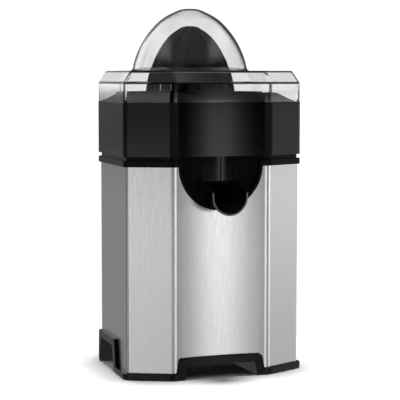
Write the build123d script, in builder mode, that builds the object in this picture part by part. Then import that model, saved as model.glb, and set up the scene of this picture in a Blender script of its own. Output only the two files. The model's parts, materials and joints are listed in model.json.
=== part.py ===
from build123d import *
import math
import os

# An electric citrus juicer: a steel motor base, a lift-off juice tub with a snap-up spout,
# a strainer basket, a ribbed cone and a clear cover. Millimetres, +Z up, front towards -Y.
# The origin is on the floor under the middle of the whole machine.
# Plan places below are measured from the drive spindle, which stands a little behind the origin.

# Fits and gaps
slip = 0.3
running_fit = 0.05
seat_gap = 0.02
arch_gap = 0.1

# Plan of the steel body
front_half = 46.0
front_y = 84.7
front_hollow = 3.5
ridge_radius = 10.0
wing_half = 84.5
wing_y = 65.3
wing_radius = 4.0
side_half = 78.1
side_y = 36.6
side_radius = 6.0
back_half = 44.0
back_y = 80.0
back_radius = 6.0
least_round = 0.8

# Heights, from the floor up
foot_proud = 0.6
leg_trim = 5.4
steel_height = 188.2
ring_height = 5.4
groove_height = 3.8
tub_height = 48.9
cover_side = 17.7
shoulder_height = 11.0
dome_height = 59.0

# Walls and how far each layer stands out from the steel
steel_wall = 0.8
mould_wall = 2.5
cover_wall = 2.0
trim_proud = 3.4
tub_proud = 2.4
groove_depth = 3.0
land_width = 6.0
cover_step = 0.5
shoulder_inset = 7.0

# Foot arches and legs
front_arch_half = 39.6
front_arch_top = 20.0
side_arch_half = 31.0
side_arch_middle = 3.0
side_arch_top = 31.5
arch_splay = 0.2
arch_corner = 3.0
arch_band = 7.0
base_skirt = 20.0
leg_floor = 4.0
leg_round = 1.2
plate_thickness = 3.0

# Feet, tie screws and cord inlet
foot_radius = 8.0
foot_recess = 2.0
front_foot_inset = (14.5, 23.3)
back_foot_inset = (-2.0, 22.0)
front_pillar_inset = (22.5, 10.3)
back_pillar_inset = (18.1, -3.4)
pillar_radius = 5.5
screw_radius = 2.0
screw_head_radius = 3.8
screw_head = 3.0
tie_recess = 12.0
tie_grip = 18.0
vent_length = 26.0
vent_width = 3.0
vent_pitch = 8.0
vent_rows = 5
bush_inset = 20.0
bush_bore = 3.8
bush_radius = 7.5
bush_groove = 1.6
bush_lip = 2.0

# Front notch, its pocket in the deck and the tub's apron
notch_radius = 41.0
notch_above = 0.8
pocket_depth = 22.0
apron_gap = 0.5
apron_inset = 0.7
deck_skirt = 10.0

# Downpipe, duct and spout
spout_half = 17.2
spout_wall = 2.0
spout_proud = 22.6
spout_drop = 52.8
spout_side_drop = 24.9
lip_side_drop = 31.4
lip_round = 0.7
spout_slope = 18.0
pipe_bulge = 2.4
pipe_foot = 2.5
duct_half = 13.0
duct_wall = 2.5
duct_skin = 1.5
sill_drop = 42.4
pivot_proud = 6.5
pivot_drop = 29.9
pivot_radius = 1.5
cheek_wall = 3.0
cheek_round = 3.5
cheek_rise = 8.0
flip_relief = 1.0

# Tub floor and spindle tube
floor_front = 3.2
duct_cut = 6.5
floor_slope = 2.5
tube_radius = 15.5
tube_above_tower = 12.0

# Spindle tower, shaft and coupler
tower_flange = 20.0
flange_height = 3.0
tower_base = 14.0
tower_top_radius = 12.0
tower_height = 26.4
shaft_bush_radius = 7.0
shaft_bush_height = 14.0
spring_chamber = 10.0
shaft_radius = 4.0
shaft_flats = 8.0
hex_above_lid = 4.0
shaft_below_case = 7.2
seal_radius = 9.0
seal_height = 3.0
press_travel = 2.5
press_room = 0.5
coupler_flats = 14.0
coupler_height = 30.0
coupler_cap = 4.0
coupler_chamfer = 1.0
clip_radius = 7.0
clip_thickness = 1.2

# Return spring
spring_radius = 6.2
spring_wire = 1.4
spring_turns = 6

# Strainer basket and cone
basket_clear = 0.8
basket_hub = 12.5
basket_below_rim = 0.3
basket_thickness = 3.0
basket_radius = 70.5
basket_rim = 69.0
basket_rise = 9.5
basket_wall = 2.5
basket_step = 2.0
hub_above_plate = 34.0
slot_count = 12
slot_length = 17.0
slot_width = 5.0
slot_place = 55.0
cone_gap = 0.3
cone_flange = 65.5
cone_plate = 3.0
cone_base = 43.5
cone_taper = 7.0
cone_skirt = 6.7
cone_height = 61.0
cone_wall = 2.5
crown_points = 6
rib_count = 10
rib_depth = 2.2
rib_width = 4.0
window_count = 20
window_width = 4.0
window_height = 8.0
window_cut = 10.0
sleeve_wall = 2.5
sleeve_height = 26.0

# Splash collar round the basket, and the ledge in the tub that carries it
collar_gap = 0.4
collar_wall = 2.0
collar_rise = 8.5
collar_inset = 15.0
ledge_width = 6.0

# Rounded edges and dome of the cover
shoulder_round = 2.0
brow_round = 1.5
brow_inner_round = 0.5
dome_radius = 54.9
dome_taper = 8.5
dome_fillet = 4.0
lip_depth = 4.0
lip_shelf = 2.0

# Gear train
pressure_angle = 25.0
addendum = 0.8
dedendum = 1.05
backlash = 0.2
pinion_teeth = 10
wheel_teeth = 40
first_module = 1.2
second_module = 1.75
gear_side_gap = 1.5
first_face = 6.0
second_face = 10.0
journal_radius = 8.0
gear_hub_radius = 12.0
gear_bush_wall = 2.5
gear_bush_height = 5.0
idler_pin_radius = 2.5

# Gear case
gear_drop = 25.0
lid_thickness = 3.0
case_depth = 25.0
case_floor = 3.0
case_wall = 3.0
case_margin = 1.5
ear_radius = 6.0
ear_x = 37.0
front_ear_y = 34.0
back_ear_beyond = 14.25
ear_grip = 16.0

# Motor
core_drop = 16.0
core_stack = 22.0
core_leg = 9.0
core_leg_place = 13.0
core_front = 20.0
core_back = 58.0
rotor_radius = 12.0
rotor_gap = 0.6
rotor_length = 20.0
rotor_shaft_radius = 2.0
rotor_bush_wall = 1.5
bobbin_wall = 1.4
bobbin_flange = 1.5
bobbin_gap = 0.5
coil_build = 4.2
flange_lip = 0.5
motor_screw_inset = 4.5
motor_boss = 4.5
bracket_thickness = 3.0
bracket_width = 26.0
bearing_drop = 6.0
bearing_boss = 6.0

# Start switch
switch_length = 28.0
switch_width = 10.0
switch_height = 16.0
switch_top_gap = 5.0
plunger_radius = 1.8
plunger_gap = 0.6
plunger_hidden = 4.0
plunger_room = 6.5
switch_wall = 3.0
switch_screw_place = 9.5
switch_screw_radius = 1.5
switch_screw_head = 3.0
switch_head_height = 1.5
plunger_round = 0.9

# Levels and places worked out from the sizes above
steel_bottom = foot_proud + leg_trim
steel_top = steel_bottom + steel_height
ring_top = steel_top + ring_height
tub_bottom = ring_top + groove_height
tub_top = tub_bottom + tub_height
shoulder_bottom = tub_top + cover_side
cover_flat = shoulder_bottom + shoulder_height
shoulder_lean = shoulder_inset / shoulder_height
wall_across = cover_wall * math.sqrt(1 + shoulder_lean**2)
hollow_turn = shoulder_bottom - (wall_across - cover_wall) / shoulder_lean
hollow_inset = shoulder_lean * (shoulder_height - cover_wall) + wall_across
plate_bottom = side_arch_top - arch_band
plate_top = plate_bottom + plate_thickness
arch_roof = front_arch_top - arch_band
skirt_out = -steel_wall - slip
skirt_in = skirt_out - mould_wall
land_out = tub_proud - groove_depth
cover_out = tub_proud - cover_step
notch_z = steel_top + notch_above
pocket_radius = notch_radius - slip
apron_radius = pocket_radius - mould_wall - apron_gap
apron_front = front_y - front_hollow - apron_inset
apron_back = front_y - pocket_depth + mould_wall + apron_gap
spout_reach = front_y + spout_proud
spindle_y = (spout_reach - back_y - trim_proud) / 2
spout_low = tub_bottom - spout_drop
spout_top = tub_bottom - spout_side_drop
lip_top = tub_bottom - lip_side_drop
window_sill = tub_bottom - sill_drop
pivot_y = apron_front + pivot_proud
pivot_z = tub_bottom - pivot_drop
tub_in = tub_proud - mould_wall
lip_out = tub_in - slip
lip_in = lip_out - cover_wall
collar_out = lip_in - collar_gap
collar_bottom = tub_top - lip_depth - collar_gap
collar_top = tub_top + collar_rise
duct_depth = apron_front - apron_back - duct_wall - duct_skin
duct_middle = -apron_back - duct_wall - duct_depth / 2
tower_top = ring_top + tower_height
bush_bottom = tower_top - shaft_bush_height
lid_top = steel_top - gear_drop
case_top = lid_top - lid_thickness
floor_top = case_top - case_depth
case_bottom = floor_top - case_floor
coupler_bottom = tower_top + seal_height + press_travel + press_room
coupler_top = coupler_bottom + coupler_height
tube_top = tower_top + tube_above_tower
hub_bottom = tube_top + press_travel + basket_clear
basket_floor = tub_top - basket_below_rim
basket_rim_top = basket_floor + basket_rise
plate_face = basket_floor + basket_thickness
cone_bottom = plate_face + cone_gap
cone_foot = cone_bottom + cone_skirt
clip_top = bush_bottom - slip
idler_place = (0.0, (pinion_teeth + wheel_teeth) * second_module / 2)
rotor_place = (-(pinion_teeth + wheel_teeth) * first_module / 2, idler_place[1])
wheel_bottom = floor_top + gear_side_gap
wheel_top = wheel_bottom + first_face
output_bottom = wheel_top + gear_side_gap
core_top = case_bottom - core_drop
core_bottom = core_top - core_stack
core_middle = core_bottom + core_stack / 2
shaft_bottom = case_bottom - shaft_below_case
plunger_top = shaft_bottom - plunger_gap
switch_top = plunger_top - switch_top_gap
switch_bottom = switch_top - switch_height
far = spout_reach + back_y

spindle = Axis((0, spindle_y, 0), (0, 0, 1))
bush_place = back_y - bush_inset


def pairs(front, back):
    """Left and right places of a front and a back point."""
    return [(side * x, y) for x, y in (front, back) for side in (-1, 1)]


pillars = pairs(
    (wing_half - front_pillar_inset[0], front_pillar_inset[1] - wing_y),
    (side_half - back_pillar_inset[0], side_y - back_pillar_inset[1]),
)
feet = pairs(
    (wing_half - front_foot_inset[0], front_foot_inset[1] - wing_y),
    (back_half - back_foot_inset[0], back_y - back_foot_inset[1]),
)
ears = pairs((ear_x, -front_ear_y), (ear_x, idler_place[1] + back_ear_beyond))
core_ends = (rotor_place[0] - core_front, rotor_place[0] + core_back)
motor_screw_places = [
    (x, rotor_place[1] + side * core_leg_place)
    for x in (core_ends[0] + motor_screw_inset, core_ends[1] - motor_screw_inset)
    for side in (-1, 1)
]
switch_screw_places = [
    (side * switch_screw_place, (switch_bottom + switch_top) / 2) for side in (-1, 1)
]


def level(height):
    """A horizontal plane whose origin is on the spindle."""
    return Plane((0, spindle_y, height))


def upright(place=0.0):
    """A plane facing the front, this far behind the spindle: sketch X is X, sketch Y is height."""
    return Plane((0, spindle_y + place, 0), x_dir=(1, 0, 0), z_dir=(0, -1, 0))


def beside(place=0.0):
    """A plane facing right, this far right of the spindle: sketch X is Y, sketch Y is height."""
    return Plane((place, spindle_y, 0), x_dir=(0, 1, 0), z_dir=(1, 0, 0))


def outline(grow):
    """The body's plan grown outward from the steel's outer face; its corner rounds grow with it."""
    corners = [
        Vector(front_half, -front_y),
        Vector(wing_half, -wing_y),
        Vector(side_half, side_y),
        Vector(back_half, back_y),
        Vector(-back_half, back_y),
    ]
    edges = []
    for corner, following in zip(corners, corners[1:]):
        along = (following - corner).normalized()
        edges.append((corner + Vector(along.Y, -along.X) * grow, along))
    arc_radius = (front_half**2 + front_hollow**2) / (2 * front_hollow)
    arc_centre = Vector(0, front_hollow - front_y - arc_radius)
    wing_start, wing_along = edges[0]
    away = wing_start - arc_centre
    lean = away.dot(wing_along)
    reach = math.sqrt(lean**2 - away.dot(away) + (arc_radius - grow) ** 2) - lean
    points = [wing_start + wing_along * reach]
    for (first, along), (second, across) in zip(edges, edges[1:]):
        reach = (second - first).cross(across).Z / along.cross(across).Z
        points.append(first + along * reach)
    right = [(point.X, point.Y) for point in points]
    left = [(-x, y) for x, y in reversed(right)]
    with BuildSketch() as plan:
        with BuildLine():
            front = ThreePointArc(left[-1], (0, arc_centre.Y + arc_radius - grow), right[0])
            Polyline(front @ 1, *right[1:], *left[:-1], front @ 0)
        make_face()
        for row, radius in ((3, back_radius), (2, side_radius), (1, wing_radius), (0, ridge_radius)):
            fillet(plan.vertices().group_by(Axis.Y)[row], max(radius + grow, least_round))
    return plan.sketch


def band(outer, inner):
    """A closed strip of the plan between two amounts of growth."""
    with BuildSketch() as strip:
        add(outline(outer))
        add(outline(inner), mode=Mode.SUBTRACT)
    return strip.sketch


def arch_face(middle, half, top):
    """One foot arch: a doorway that widens towards the floor."""
    foot_half = half + arch_splay * top
    with BuildSketch() as face:
        with BuildLine():
            Polyline(
                (middle - foot_half, 0),
                (middle + foot_half, 0),
                (middle + half, top),
                (middle - half, top),
                close=True,
            )
        make_face()
        fillet(face.vertices().group_by(Axis.Y)[-1], arch_corner)
    return face.sketch


def arches(inside):
    """Prisms through the foot arches, front to back and side to side, this far inside the steel's edge."""
    with BuildPart() as openings:
        with BuildSketch(upright()):
            add(arch_face(0, front_arch_half - inside, front_arch_top - inside))
        extrude(amount=far, both=True)
        with BuildSketch(beside()):
            add(arch_face(side_arch_middle, side_arch_half - inside, side_arch_top - inside))
        extrude(amount=far, both=True)
    return openings.part


def notch_face(radius, top):
    """The front notch: a half disc with straight sides above it."""
    with BuildSketch() as face:
        with BuildLine():
            low = ThreePointArc((-radius, notch_z), (0, notch_z - radius), (radius, notch_z))
            Polyline(low @ 1, (radius, top), (-radius, top), low @ 0)
        make_face()
    return face.sketch


def crown_face(radius, taper, foot, height):
    """Half section of a rounded crown: an ellipse whose sides lean inward by the taper."""
    points = []
    for step in range(crown_points + 1):
        angle = math.pi / 2 * step / crown_points
        reach = (radius - taper * math.sin(angle)) * math.cos(angle)
        points.append((reach, foot + height * math.sin(angle)))
    with BuildSketch() as face:
        with BuildLine():
            curve = Spline(*points, tangents=[(-taper, height), (-1, 0)])
            Polyline(curve @ 1, (0, foot), curve @ 0)
        make_face()
    return face.sketch


def involute(angle):
    """The involute function of a pressure angle."""
    return math.tan(angle) - angle


def gear_face(teeth, module, turn):
    """A spur gear's outline, with one tooth pointing along the turn angle in degrees."""
    pitch = teeth * module / 2
    root = pitch - dedendum * module
    tip = pitch + addendum * module
    pressure = math.radians(pressure_angle)
    base = pitch * math.cos(pressure)
    half_tooth = (math.pi * module / 2 - backlash) / (2 * pitch)

    def flank(radius):
        angle = math.acos(min(1.0, base / radius))
        return half_tooth + involute(pressure) - involute(angle)

    start = max(root, base)
    radii = [start, (start + tip) / 2, tip]
    if root < base:
        radii.insert(0, root)
    points = []
    for tooth in range(teeth):
        middle = math.radians(turn) + 2 * math.pi * tooth / teeth
        rising = [(radius, middle - flank(radius)) for radius in radii]
        falling = [(radius, middle + flank(radius)) for radius in reversed(radii)]
        points += [(r * math.cos(a), r * math.sin(a)) for r, a in rising + falling]
    with BuildSketch() as face:
        with BuildLine():
            Polyline(*points, close=True)
        make_face()
    return face.sketch


def spring_path(radius, turns, bottom, top):
    """A helix as tangent arcs, two to each quarter turn."""
    rise = (top - bottom) / (2 * math.pi * turns)

    def point(angle):
        return Vector(
            radius * math.cos(angle), spindle_y + radius * math.sin(angle), bottom + rise * angle
        )

    def heading(angle):
        return Vector(-radius * math.sin(angle), radius * math.cos(angle), rise).normalized()

    quarter = math.pi / 2
    with BuildLine() as path:
        for step in range(4 * turns):
            start, end = point(step * quarter), point((step + 1) * quarter)
            leave, arrive = heading(step * quarter), heading((step + 1) * quarter)
            chord = end - start
            along = chord.dot(leave + arrive)
            spread = 2 * (1 - leave.dot(arrive))
            reach = (math.sqrt(along**2 + spread * chord.dot(chord)) - along) / spread
            joint = (start + leave * reach + end - arrive * reach) * 0.5
            first = TangentArc(start, joint, tangent=leave)
            TangentArc(joint, end, tangent=first % 1)
    return path.line


def finish(builder, name):
    """Names a finished piece and writes it."""
    builder.part.label = name
    export_step(builder.part, f"parts/{name}.step")


os.makedirs("parts", exist_ok=True)

# Steel sleeve
with BuildPart() as steel_sleeve:
    with BuildSketch(level(steel_bottom)):
        add(band(0, -steel_wall))
    extrude(amount=steel_height)
    add(arches(0), mode=Mode.SUBTRACT)
    with BuildSketch(upright()):
        add(notch_face(notch_radius, ring_top))
    extrude(amount=far, mode=Mode.SUBTRACT)
finish(steel_sleeve, "steel_sleeve")

# Space that the steel takes above the base's border, to cut the border to shape
with BuildPart() as steel_space:
    with BuildSketch(level(steel_bottom)):
        add(band(2 * trim_proud, skirt_out))
    extrude(amount=steel_height)
    add(arches(arch_gap), mode=Mode.SUBTRACT)

# Hollow inside the legs
with BuildPart() as leg_hollow:
    with BuildSketch(level(foot_proud + leg_floor)):
        add(outline(skirt_in))
    extrude(amount=plate_bottom - foot_proud - leg_floor)
    add(arches(arch_band - mould_wall), mode=Mode.SUBTRACT)

# Base with its border, legs and screw bosses
with BuildPart() as base_trim:
    with BuildSketch(level(foot_proud)):
        add(outline(trim_proud))
    extrude(amount=plate_bottom - foot_proud)
    fillet(base_trim.edges().group_by(Axis.Z)[0], leg_round)
    add(leg_hollow.part, mode=Mode.SUBTRACT)
    with BuildSketch(level(plate_bottom)):
        add(band(trim_proud, skirt_in))
    extrude(amount=base_skirt)
    add(steel_space.part, mode=Mode.SUBTRACT)
    with BuildSketch(level(foot_proud)):
        with Locations(*pillars):
            Circle(pillar_radius)
    extrude(amount=plate_bottom - foot_proud)
    add(arches(arch_band), mode=Mode.SUBTRACT)
    with BuildSketch(level(foot_proud)):
        with Locations(*pillars):
            Circle(screw_radius + slip)
    extrude(amount=plate_bottom, mode=Mode.SUBTRACT)
    with BuildSketch(level(foot_proud)):
        with Locations(*pillars):
            Circle(screw_head_radius + slip)
    extrude(amount=tie_recess, mode=Mode.SUBTRACT)
    with BuildSketch(level(foot_proud)):
        with Locations(*feet):
            Circle(foot_radius)
    extrude(amount=foot_recess, mode=Mode.SUBTRACT)
    with BuildSketch(level(arch_roof)):
        with Locations((0, bush_place)):
            Circle(bush_radius - bush_groove)
    extrude(amount=mould_wall, mode=Mode.SUBTRACT)
finish(base_trim, "base_trim")

# Rubber feet, let into the legs
with BuildPart() as rubber_feet:
    with BuildSketch(level(0)):
        with Locations(*feet):
            Circle(foot_radius - seat_gap)
    extrude(amount=foot_proud + foot_recess)
finish(rubber_feet, "rubber_feet")

# Bottom plate with vents and a hole for the lead
with BuildPart() as bottom_plate:
    with BuildSketch(level(plate_bottom)):
        add(outline(skirt_in - slip))
        with Locations(*pillars):
            Circle(screw_radius + slip, mode=Mode.SUBTRACT)
        with GridLocations(vent_length + vent_pitch, vent_pitch, 2, vent_rows):
            SlotOverall(vent_length, vent_width, mode=Mode.SUBTRACT)
        with Locations((0, bush_place)):
            Circle(bush_radius, mode=Mode.SUBTRACT)
    extrude(amount=plate_thickness)
finish(bottom_plate, "bottom_plate")

# Cord inlet bush, a grommet that grips the roof of the back arch
with BuildPart() as cord_bush:
    with BuildSketch(level(arch_roof - bush_lip)):
        with Locations((0, bush_place)):
            Circle(bush_radius)
    extrude(amount=mould_wall + 2 * bush_lip)
    with BuildSketch(level(arch_roof)):
        with Locations((0, bush_place)):
            Circle(bush_radius)
            Circle(bush_radius - bush_groove - seat_gap, mode=Mode.SUBTRACT)
    extrude(amount=mould_wall, mode=Mode.SUBTRACT)
    with BuildSketch(level(0)):
        with Locations((0, bush_place)):
            Circle(bush_bore)
    extrude(amount=steel_top, mode=Mode.SUBTRACT)
finish(cord_bush, "cord_bush")

# Tie screws that clamp base, plate and deck
with BuildPart() as tie_screws:
    with BuildSketch(level(foot_proud + tie_recess - screw_head)):
        with Locations(*pillars):
            Circle(screw_head_radius)
    extrude(amount=screw_head)
    with BuildSketch(level(foot_proud + tie_recess)):
        with Locations(*pillars):
            Circle(screw_radius)
    extrude(amount=plate_top + tie_grip - foot_proud - tie_recess)
finish(tie_screws, "tie_screws")

# Pocket behind the notch, trimmed to the steel's face
with BuildPart() as pocket:
    with BuildSketch(upright(pocket_depth - front_y)):
        add(notch_face(pocket_radius, ring_top))
    extrude(amount=pocket_depth)
    with BuildSketch(level(0)):
        add(outline(0))
    extrude(amount=tub_top, mode=Mode.INTERSECT)

# Motor deck: ring, seat for the tub, pocket, pillars and gear bosses
with BuildPart() as motor_deck:
    with BuildSketch(level(steel_top)):
        add(outline(tub_proud))
    extrude(amount=ring_height)
    with BuildSketch(level(ring_top)):
        add(band(land_out, land_out - land_width))
    extrude(amount=groove_height)
    with BuildSketch(level(steel_top)):
        add(band(skirt_out, skirt_in))
    extrude(amount=-deck_skirt)
    add(pocket.part)
    with BuildSketch(upright(pocket_depth - mould_wall - front_y)):
        add(notch_face(pocket_radius - mould_wall, tub_top))
    extrude(amount=far, mode=Mode.SUBTRACT)
    with BuildSketch(level(plate_top)):
        with Locations(*pillars):
            Circle(pillar_radius)
    extrude(amount=steel_top - plate_top)
    with BuildSketch(level(lid_top)):
        with Locations(*ears):
            Circle(ear_radius)
    extrude(amount=gear_drop)
    with BuildSketch(level(plate_top)):
        with Locations(*pillars):
            Circle(screw_radius + seat_gap)
    extrude(amount=tie_grip, mode=Mode.SUBTRACT)
    with BuildSketch(level(lid_top)):
        with Locations(*ears):
            Circle(screw_radius + seat_gap)
    extrude(amount=ear_grip, mode=Mode.SUBTRACT)
    with BuildSketch(level(steel_top)):
        Circle(spring_chamber)
    extrude(amount=ring_height, mode=Mode.SUBTRACT)
finish(motor_deck, "motor_deck")

# Spindle tower on the deck, with the spring's chamber and the bush's seat
with BuildPart() as spindle_tower:
    with BuildSketch(upright()):
        with BuildLine():
            Polyline(
                (spring_chamber, ring_top),
                (tower_flange, ring_top),
                (tower_flange, ring_top + flange_height),
                (tower_base, ring_top + flange_height),
                (tower_top_radius, tower_top),
                (shaft_bush_radius + seat_gap, tower_top),
                (shaft_bush_radius + seat_gap, bush_bottom),
                (spring_chamber, bush_bottom),
                close=True,
            )
        make_face()
    revolve(axis=spindle)
finish(spindle_tower, "spindle_tower")

# Shaft bush in the top of the tower
with BuildPart() as shaft_bush:
    with BuildSketch(level(bush_bottom)):
        Circle(shaft_bush_radius)
        Circle(shaft_radius + running_fit, mode=Mode.SUBTRACT)
    extrude(amount=shaft_bush_height)
finish(shaft_bush, "shaft_bush")

# Shaft seal on the tower, with a thin lip that leans up towards the shaft
with BuildPart() as shaft_seal:
    with BuildSketch(upright()):
        with BuildLine():
            Polyline(
                (seal_radius, tower_top),
                (seal_radius, tower_top + seal_height / 2),
                (shaft_radius + running_fit, tower_top + seal_height),
                (shaft_radius + running_fit, tower_top + seal_height / 2),
                (shaft_bush_radius, tower_top),
                close=True,
            )
        make_face()
    revolve(axis=spindle)
finish(shaft_seal, "shaft_seal")

# Gear case: a tub with screw ears, motor bosses below and the switch wall
with BuildPart() as gear_case:
    with BuildSketch(level(case_bottom)) as case_plan:
        with Locations(*ears):
            Circle(ear_radius)
        with Locations(*motor_screw_places):
            Circle(ear_radius)
        Circle(wheel_teeth * second_module / 2 + addendum * second_module + case_margin + case_wall)
        with Locations(idler_place):
            Circle(wheel_teeth * first_module / 2 + addendum * first_module + case_margin + case_wall)
        make_hull()
    extrude(amount=case_top - case_bottom)
    with BuildSketch(level(floor_top)):
        Circle(wheel_teeth * second_module / 2 + addendum * second_module + case_margin)
        with Locations(idler_place):
            Circle(wheel_teeth * first_module / 2 + addendum * first_module + case_margin)
        with Locations(rotor_place):
            Circle(pinion_teeth * first_module / 2 + addendum * first_module + case_margin)
        make_hull()
    extrude(amount=case_depth, mode=Mode.SUBTRACT)
    with BuildSketch(level(case_bottom)):
        with Locations(*motor_screw_places):
            Circle(motor_boss)
    extrude(amount=-core_drop)
    with BuildSketch(level(case_bottom)):
        with Locations((0, (switch_width + switch_wall) / 2)):
            Rectangle(switch_length, switch_wall)
    extrude(amount=switch_bottom - case_bottom)
    with BuildSketch(level(case_bottom)):
        with Locations(*ears):
            Circle(screw_radius + slip)
        Circle(journal_radius + running_fit + gear_bush_wall + seat_gap)
        with Locations(rotor_place):
            Circle(rotor_shaft_radius + running_fit + rotor_bush_wall + seat_gap)
        with Locations(idler_place):
            Circle(idler_pin_radius + seat_gap)
    extrude(amount=case_top - case_bottom, mode=Mode.SUBTRACT)
    with BuildSketch(level(core_top)):
        with Locations(*motor_screw_places):
            Circle(screw_radius + seat_gap)
    extrude(amount=core_drop, mode=Mode.SUBTRACT)
    with BuildSketch(upright()):
        with Locations(*switch_screw_places):
            Circle(switch_screw_radius + seat_gap)
    extrude(amount=-switch_width - switch_wall, mode=Mode.SUBTRACT)
finish(gear_case, "gear_case")

# Lid of the gear case
with BuildPart() as gear_case_lid:
    with BuildSketch(level(case_top)):
        add(case_plan.sketch_local)
        with Locations(*ears):
            Circle(screw_radius + slip, mode=Mode.SUBTRACT)
        Circle(journal_radius + running_fit + gear_bush_wall + seat_gap, mode=Mode.SUBTRACT)
        with Locations(idler_place):
            Circle(idler_pin_radius + seat_gap, mode=Mode.SUBTRACT)
    extrude(amount=lid_thickness)
finish(gear_case_lid, "gear_case_lid")

# Screws that hold case and lid up against the deck
with BuildPart() as gear_case_screws:
    with BuildSketch(level(case_bottom - screw_head)):
        with Locations(*ears):
            Circle(screw_head_radius)
    extrude(amount=screw_head)
    with BuildSketch(level(case_bottom)):
        with Locations(*ears):
            Circle(screw_radius)
    extrude(amount=lid_top + ear_grip - case_bottom)
finish(gear_case_screws, "gear_case_screws")

# Bushes that carry the output gear's hub, one in the case and one in the lid
with BuildPart() as gear_bushes:
    for bush_foot in (case_bottom, lid_top - gear_bush_height):
        with BuildSketch(level(bush_foot)):
            Circle(journal_radius + running_fit + gear_bush_wall)
            Circle(journal_radius + running_fit, mode=Mode.SUBTRACT)
        extrude(amount=gear_bush_height)
finish(gear_bushes, "gear_bushes")

# Output gear, whose hexagon bore lets the shaft slide
half_wheel_tooth = 180 / wheel_teeth
with BuildPart() as output_gear:
    with BuildSketch(level(output_bottom)):
        add(gear_face(wheel_teeth, second_module, 90 + half_wheel_tooth))
    extrude(amount=second_face)
    with BuildSketch(level(case_bottom + gear_bush_height + slip)):
        Circle(gear_hub_radius)
    extrude(amount=lid_top - case_bottom - 2 * gear_bush_height - 2 * slip)
    with BuildSketch(level(case_bottom)):
        Circle(journal_radius)
    extrude(amount=lid_top - case_bottom)
    with BuildSketch(level(case_bottom)):
        RegularPolygon(shaft_flats / 2 + running_fit, 6, major_radius=False)
    extrude(amount=lid_top - case_bottom, mode=Mode.SUBTRACT)
finish(output_gear, "output_gear")

# Idler: the first wheel with the second pinion on top
with BuildPart() as idler_gear:
    with BuildSketch(level(wheel_bottom)):
        with Locations(idler_place):
            add(gear_face(wheel_teeth, first_module, 180 + half_wheel_tooth))
    extrude(amount=first_face)
    with BuildSketch(level(wheel_top)):
        with Locations(idler_place):
            add(gear_face(pinion_teeth, second_module, -90))
    extrude(amount=case_top - slip - wheel_top)
    with BuildSketch(level(floor_top + slip)):
        with Locations(idler_place):
            Circle(pinion_teeth * second_module / 2 - dedendum * second_module)
    extrude(amount=wheel_bottom - floor_top - slip)
    with BuildSketch(level(floor_top)):
        with Locations(idler_place):
            Circle(idler_pin_radius + running_fit)
    extrude(amount=case_depth, mode=Mode.SUBTRACT)
finish(idler_gear, "idler_gear")

# Pin that the idler turns on
with BuildPart() as idler_pin:
    with BuildSketch(level(case_bottom)):
        with Locations(idler_place):
            Circle(idler_pin_radius)
    extrude(amount=lid_top - case_bottom)
finish(idler_pin, "idler_pin")

# Stator core: a U of laminations round the rotor
with BuildPart() as stator_core:
    with BuildSketch(level(core_bottom)):
        core_length = core_ends[1] - core_ends[0]
        slot_half = core_leg_place - core_leg / 2
        with Locations((sum(core_ends) / 2, rotor_place[1])):
            Rectangle(core_length, 2 * core_leg_place + core_leg)
        with Locations(((sum(core_ends) - core_leg) / 2, rotor_place[1])):
            Rectangle(core_length - core_leg, 2 * slot_half, mode=Mode.SUBTRACT)
        with Locations(rotor_place):
            Circle(rotor_radius + rotor_gap, mode=Mode.SUBTRACT)
        with Locations(*motor_screw_places):
            Circle(screw_radius + slip, mode=Mode.SUBTRACT)
    extrude(amount=core_stack)
finish(stator_core, "stator_core")

# Coils on both legs of the core, each on its flanged bobbin
coil_start = rotor_place[0] + rotor_radius + rotor_gap + bobbin_gap
coil_end = core_ends[1] - core_leg - bobbin_gap
leg_places = [rotor_place[1] + side * core_leg_place for side in (-1, 1)]
leg_opening = (core_leg + 2 * slip, core_stack + 2 * slip)
with BuildPart() as coil_bobbins:
    for leg_y in leg_places:
        for start, length, build in (
            (coil_start, coil_end - coil_start, bobbin_wall),
            (coil_start, bobbin_flange, bobbin_wall + coil_build + flange_lip),
            (coil_end - bobbin_flange, bobbin_flange, bobbin_wall + coil_build + flange_lip),
        ):
            with BuildSketch(beside(start)):
                with Locations((leg_y, core_middle)):
                    Rectangle(leg_opening[0] + 2 * build, leg_opening[1] + 2 * build)
                    Rectangle(*leg_opening, mode=Mode.SUBTRACT)
            extrude(amount=length)
finish(coil_bobbins, "coil_bobbins")

with BuildPart() as stator_coils:
    for leg_y in leg_places:
        with BuildSketch(beside(coil_start + bobbin_flange)):
            with Locations((leg_y, core_middle)):
                RectangleRounded(
                    leg_opening[0] + 2 * (bobbin_wall + coil_build),
                    leg_opening[1] + 2 * (bobbin_wall + coil_build),
                    coil_build,
                )
                Rectangle(
                    leg_opening[0] + 2 * bobbin_wall,
                    leg_opening[1] + 2 * bobbin_wall,
                    mode=Mode.SUBTRACT,
                )
        extrude(amount=coil_end - coil_start - 2 * bobbin_flange)
finish(stator_coils, "stator_coils")

# Bracket under the core with the rotor's lower bearing boss
bracket_bottom = core_bottom - bracket_thickness
bearing_bottom = bracket_bottom - bearing_drop
with BuildPart() as motor_bracket:
    with BuildSketch(level(bracket_bottom)):
        with Locations((core_ends[0] + bracket_width / 2, rotor_place[1])):
            Rectangle(bracket_width, 2 * core_leg_place + core_leg)
        with Locations(*motor_screw_places[:2]):
            Circle(screw_radius + slip, mode=Mode.SUBTRACT)
    extrude(amount=bracket_thickness)
    with BuildSketch(level(bearing_bottom)):
        with Locations(rotor_place):
            Circle(bearing_boss)
    extrude(amount=bearing_drop)
    with BuildSketch(level(bearing_bottom)):
        with Locations(rotor_place):
            Circle(rotor_shaft_radius + running_fit + rotor_bush_wall + seat_gap)
    extrude(amount=bearing_drop + bracket_thickness, mode=Mode.SUBTRACT)
finish(motor_bracket, "motor_bracket")

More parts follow.
